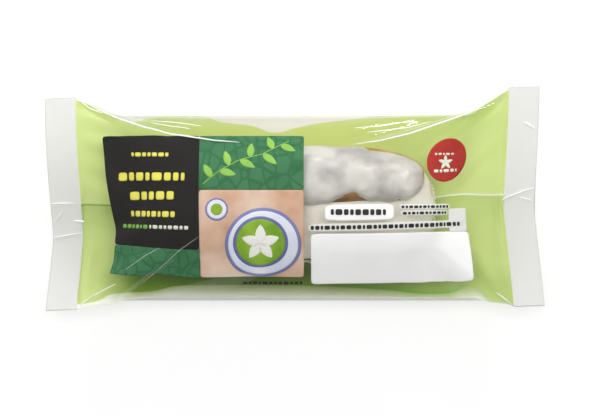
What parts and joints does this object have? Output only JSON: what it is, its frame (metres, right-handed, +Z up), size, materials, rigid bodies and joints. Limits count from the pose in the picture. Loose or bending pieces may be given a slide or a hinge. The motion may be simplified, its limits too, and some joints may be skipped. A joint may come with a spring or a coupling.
{
  "type": "wrapped eclair",
  "caption": "Single iced eclair on a small tray, sealed in a pillow-shaped clear film pack with two flat end seals and a lengthways seam flap underneath.",
  "frame": {"origin": "middle of the footprint, on the surface that the pack lies on", "axes": "+X along the pack towards the end with the round emblem, +Y towards the far long side, +Z up through the printed front"},
  "size_m": [0.1994, 0.0892, 0.0328],
  "materials": {
    "film": "clear glossy polypropylene film, printed pale green behind and with a dark panel in front"
  },
  "bodies": {
    "root": {"pack": "film"}
  },
  "joints": []
}
